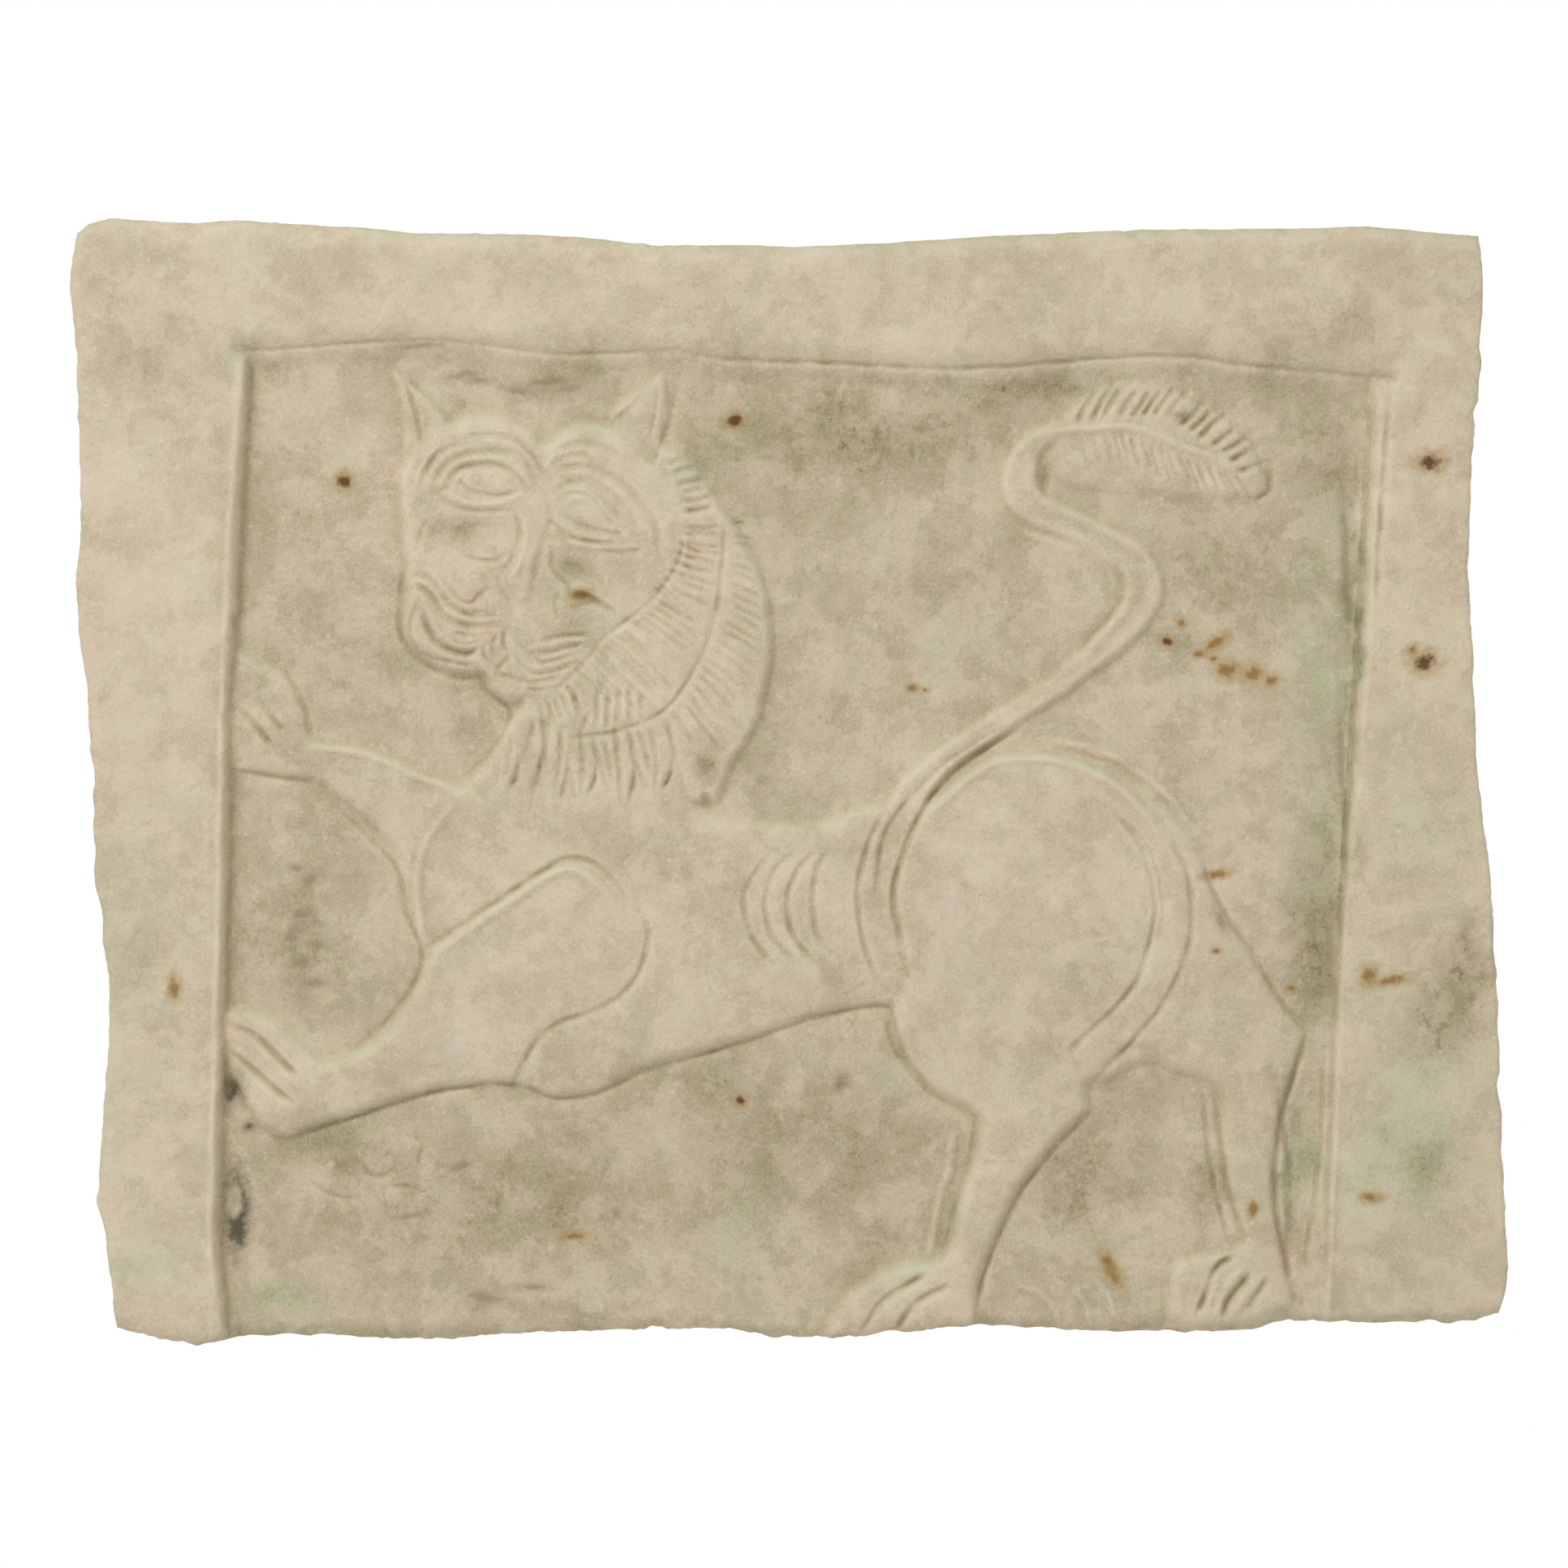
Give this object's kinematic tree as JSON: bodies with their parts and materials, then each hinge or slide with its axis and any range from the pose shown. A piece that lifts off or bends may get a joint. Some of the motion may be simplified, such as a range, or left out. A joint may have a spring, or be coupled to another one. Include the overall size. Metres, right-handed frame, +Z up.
{
  "type": "stone relief plaque",
  "caption": "Rectangular stone wall slab with broken edges, carved in low relief with a walking lion on a sunk panel inside a plain border.",
  "frame": {"origin": "middle of the flat back, which is set against a wall", "axes": "+Z up, +X to the right as seen from the front, +Y into the wall; the carved face looks to -Y"},
  "size_m": [0.6, 0.0605, 0.471],
  "materials": {
    "stone": "weathered pale limestone, chisel-dressed and matt"
  },
  "bodies": {
    "root": {"relief_slab": "stone"}
  },
  "joints": []
}
